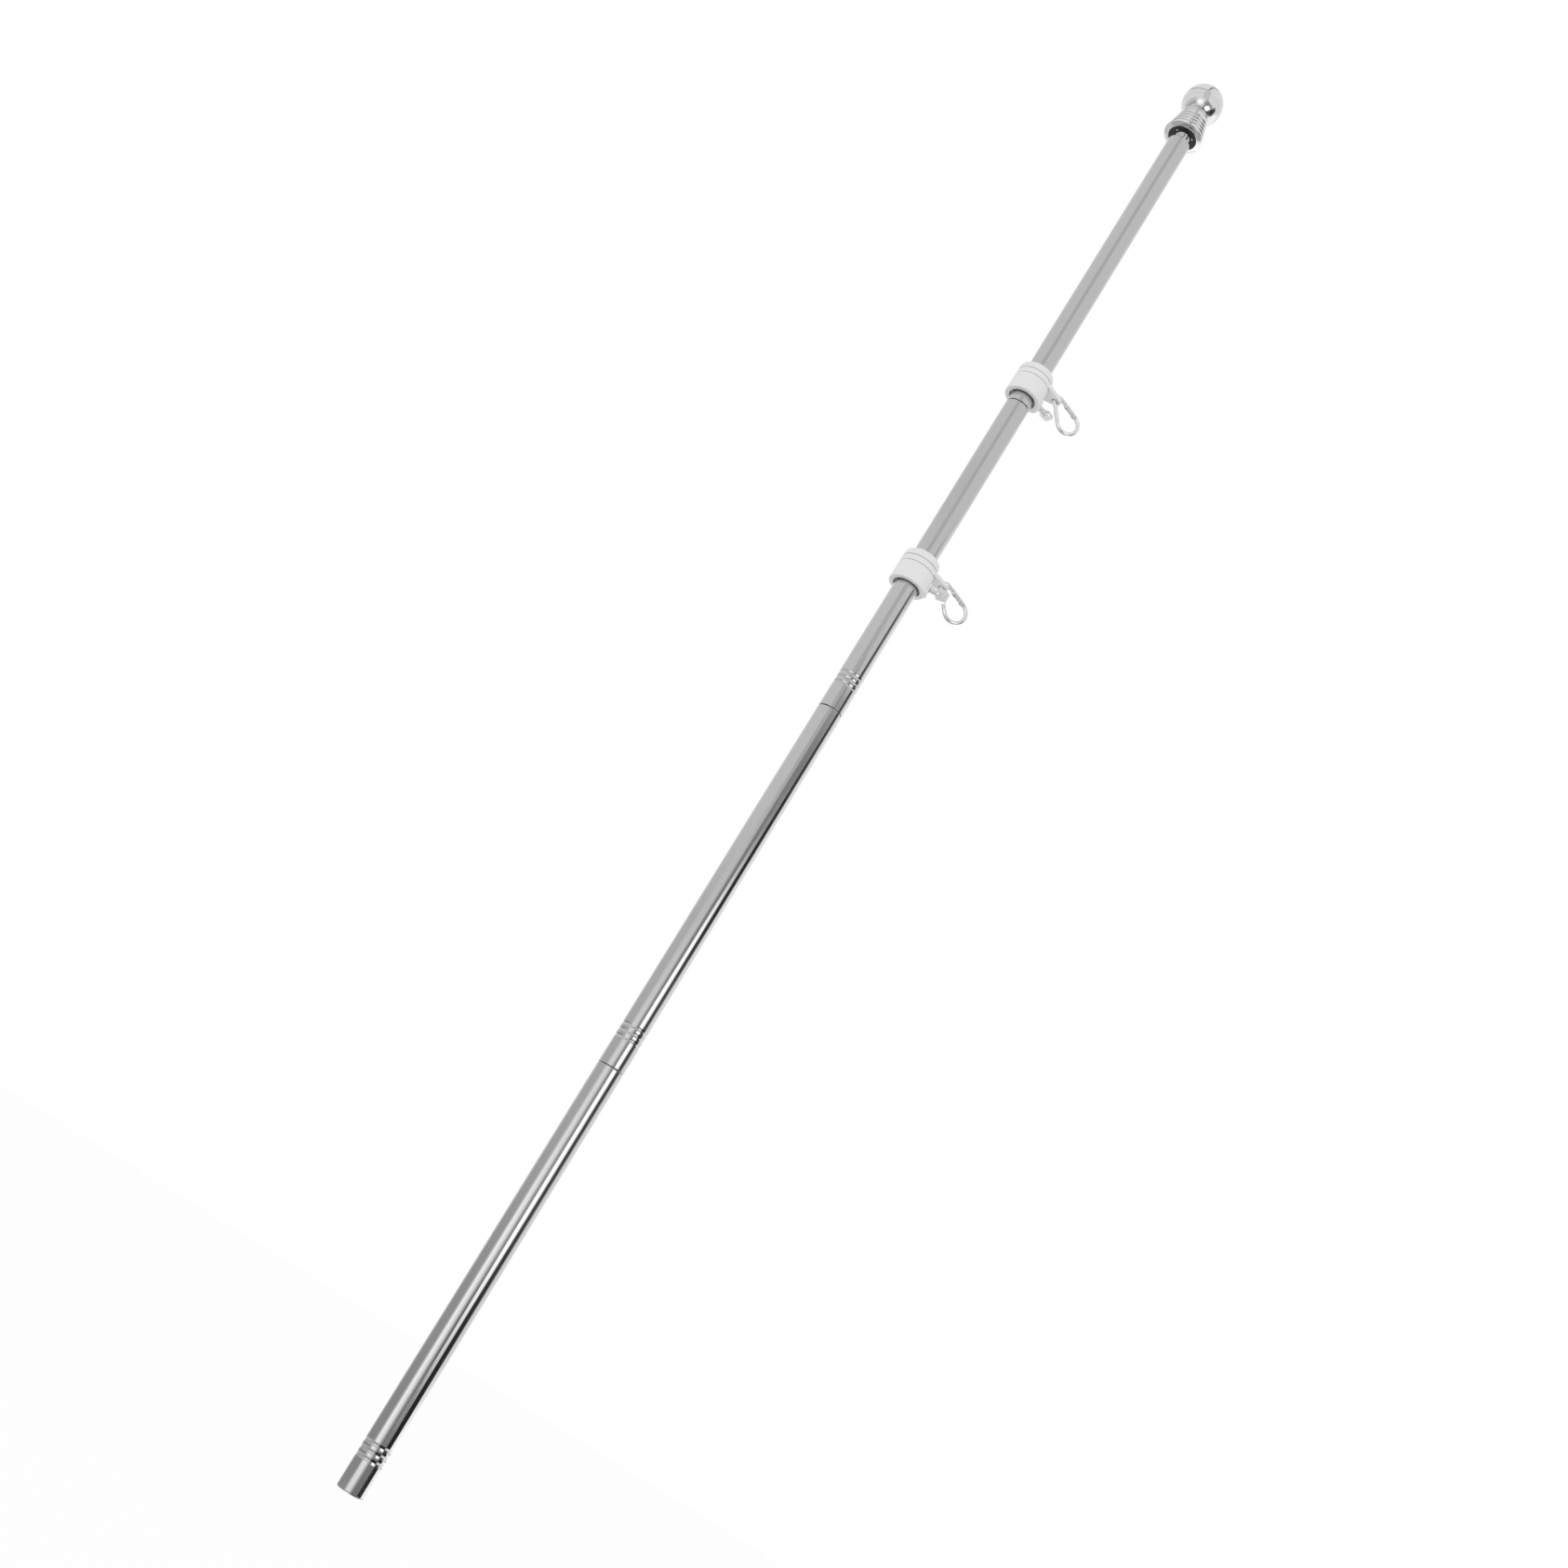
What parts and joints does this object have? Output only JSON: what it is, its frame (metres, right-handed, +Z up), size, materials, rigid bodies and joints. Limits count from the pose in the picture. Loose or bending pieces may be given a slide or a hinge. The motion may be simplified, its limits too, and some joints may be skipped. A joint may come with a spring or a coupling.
{
  "type": "flagpole",
  "caption": "Sectional flagpole of screwed metal tubes with a ball finial and clamp-on swivel rings that carry snap hooks.",
  "frame": {"origin": "centre of the pole's foot, on its flat end", "axes": "+Z up the pole to the finial, +X roughly towards the snap hooks as stored, +Y across"},
  "size_m": [0.1003, 0.0523, 1.8544],
  "materials": {
    "pole_steel": "polished",
    "thread_alloy": "machined",
    "finial_chrome": "mirror plated",
    "socket_black": "moulded",
    "ring_white": "moulded gloss",
    "hook_nickel": "nickel plated"
  },
  "bodies": {
    "pole": {"bottom_tube": "pole_steel", "bottom_stud": "thread_alloy", "foot_plug": "thread_alloy", "lower_middle_tube": "pole_steel", "lower_middle_stud": "thread_alloy", "lower_middle_insert": "thread_alloy", "upper_middle_tube": "pole_steel", "upper_middle_stud": "thread_alloy", "upper_middle_insert": "thread_alloy", "top_tube": "pole_steel", "top_stud": "thread_alloy", "top_insert": "thread_alloy", "finial_base": "finial_chrome", "finial_ball": "finial_chrome", "finial_socket": "socket_black"},
    "lower_ring": {"lower_collar": "ring_white", "lower_cap": "ring_white"},
    "lower_swivel": {"lower_swivel_ring": "ring_white"},
    "lower_screw": {"lower_thumb_screw": "hook_nickel"},
    "lower_snap_hook": {"lower_hook": "hook_nickel", "lower_gate_pin": "hook_nickel"},
    "lower_gate": {"lower_hook_gate": "hook_nickel"},
    "upper_ring": {"upper_collar": "ring_white", "upper_cap": "ring_white"},
    "upper_swivel": {"upper_swivel_ring": "ring_white"},
    "upper_screw": {"upper_thumb_screw": "hook_nickel"},
    "upper_snap_hook": {"upper_hook": "hook_nickel", "upper_gate_pin": "hook_nickel"},
    "upper_gate": {"upper_hook_gate": "hook_nickel"}
  },
  "joints": [
    {"name": "lower_ring_slide", "type": "slide", "parent": "pole", "child": "lower_ring", "axis": [0, 0, 1], "range_m": [-0.9, 0.05]},
    {"name": "lower_swivel_turn", "type": "hinge", "parent": "lower_ring", "child": "lower_swivel", "pos_m": [0, 0, 1.07865], "axis": [0, 0, 1], "range_deg": [0, 324]},
    {"name": "lower_screw_turn", "type": "hinge", "parent": "lower_ring", "child": "lower_screw", "pos_m": [0.03077, -0.0038, 1.0625], "axis": [0.9924, -0.1227, 0], "continuous": true},
    {"name": "lower_hook_swing", "type": "hinge", "parent": "lower_swivel", "child": "lower_snap_hook", "pos_m": [0.03902, 0.00758, 1.07865], "axis": [-0.1908, 0.9816, 0], "range_deg": [-126, 54]},
    {"name": "lower_gate_open", "type": "hinge", "parent": "lower_snap_hook", "child": "lower_gate", "pos_m": [0.04832, 0.00939, 1.08122], "axis": [-0.1908, 0.9816, 0], "range_deg": [0, 35], "stiffness_Nm_per_rad": 0.1, "springref_deg": -22.92},
    {"name": "upper_ring_slide", "type": "slide", "parent": "pole", "child": "upper_ring", "axis": [0, 0, 1], "range_m": [-0.125, 0.36]},
    {"name": "upper_swivel_turn", "type": "hinge", "parent": "upper_ring", "child": "upper_swivel", "pos_m": [0, 0, 1.35905], "axis": [0, 0, 1], "range_deg": [-324, 0]},
    {"name": "upper_screw_turn", "type": "hinge", "parent": "upper_ring", "child": "upper_screw", "pos_m": [0.0271, 0.01505, 1.3429], "axis": [0.8742, 0.4856, 0], "continuous": true},
    {"name": "upper_hook_swing", "type": "hinge", "parent": "upper_swivel", "child": "upper_snap_hook", "pos_m": [0.03902, 0.00758, 1.35905], "axis": [-0.1908, 0.9816, 0], "range_deg": [-126, 54]},
    {"name": "upper_gate_open", "type": "hinge", "parent": "upper_snap_hook", "child": "upper_gate", "pos_m": [0.04832, 0.00939, 1.36162], "axis": [-0.1908, 0.9816, 0], "range_deg": [0, 35], "stiffness_Nm_per_rad": 0.1, "springref_deg": -22.92}
  ]
}
